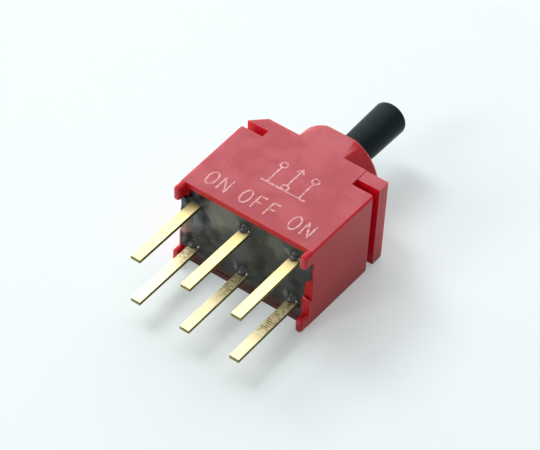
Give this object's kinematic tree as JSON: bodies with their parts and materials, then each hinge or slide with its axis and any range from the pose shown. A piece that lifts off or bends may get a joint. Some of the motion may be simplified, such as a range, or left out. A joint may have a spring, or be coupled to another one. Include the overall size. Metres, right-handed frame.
{
  "type": "toggle switch",
  "caption": "Sealed sub-miniature toggle switch with a moulded red housing, a round black lever that rests in the centre, rocking contacts and flat gold board terminals.",
  "frame": {"origin": "centre of the six-terminal pattern, in the plane where the four standoffs meet the circuit board", "axes": "+Y up the lever's axis away from the board, +X along a row of three terminals, +Z across the two rows and up as the switch lies on its long side"},
  "size_m": [0.0126, 0.0275, 0.0082],
  "materials": {
    "housing_plastic": "red glass-filled thermoplastic, moulded, satin gloss with fine scratches",
    "lever_plastic": "black moulded thermoplastic, satin",
    "steel": "stainless steel, bright",
    "seal_rubber": "black rubber, matt",
    "nylon": "natural nylon, moulded",
    "gold_plate": "gold plate on copper alloy, bright with drawn marks",
    "base_plastic": "black moulded thermoset, matt",
    "resin": "dark grey potting resin, glossy and uneven"
  },
  "bodies": {
    "case": {"housing": "housing_plastic", "lever_retainer": "nylon", "shaft_seal": "seal_rubber", "terminal_base": "base_plastic", "resin_seal": "resin", "terminal_upper_left": "gold_plate", "terminal_upper_common": "gold_plate", "terminal_upper_right": "gold_plate", "terminal_lower_left": "gold_plate", "terminal_lower_common": "gold_plate", "terminal_lower_right": "gold_plate"},
    "lever": {"lever": "lever_plastic", "pivot_pin": "steel", "driver": "nylon", "plunger_spring_upper": "steel", "plunger_spring_lower": "steel"},
    "plunger_upper": {"plunger_upper": "gold_plate"},
    "plunger_lower": {"plunger_lower": "gold_plate"},
    "rocker_upper": {"rocker_upper": "gold_plate"},
    "rocker_lower": {"rocker_lower": "gold_plate"}
  },
  "joints": [
    {"name": "lever_tilt", "type": "hinge", "parent": "case", "child": "lever", "pos_m": [0, 0.01095, 0], "axis": [0, 0, 1], "range_deg": [-12.5, 12.5]},
    {"name": "rocker_upper_tilt", "type": "hinge", "parent": "case", "child": "rocker_upper", "pos_m": [0, 0.00415, 0.0021], "axis": [0, 0, 1], "range_deg": [-5.5, 5.5]},
    {"name": "rocker_lower_tilt", "type": "hinge", "parent": "case", "child": "rocker_lower", "pos_m": [0, 0.00415, -0.0021], "axis": [0, 0, 1], "range_deg": [-5.5, 5.5]},
    {"name": "plunger_upper_slide", "type": "slide", "parent": "lever", "child": "plunger_upper", "axis": [0, 1, 0], "range_m": [0, 0.00025], "stiffness_N_per_m": 200, "springref_m": -0.0005, "deforming": ["plunger_spring_upper"]},
    {"name": "plunger_lower_slide", "type": "slide", "parent": "lever", "child": "plunger_lower", "axis": [0, 1, 0], "range_m": [0, 0.00025], "stiffness_N_per_m": 200, "springref_m": -0.0005, "deforming": ["plunger_spring_lower"]}
  ],
  "couplings": [
    {"joint": "rocker_upper_tilt", "follows": "lever_tilt", "ratio": -0.44},
    {"joint": "rocker_lower_tilt", "follows": "lever_tilt", "ratio": -0.44}
  ]
}
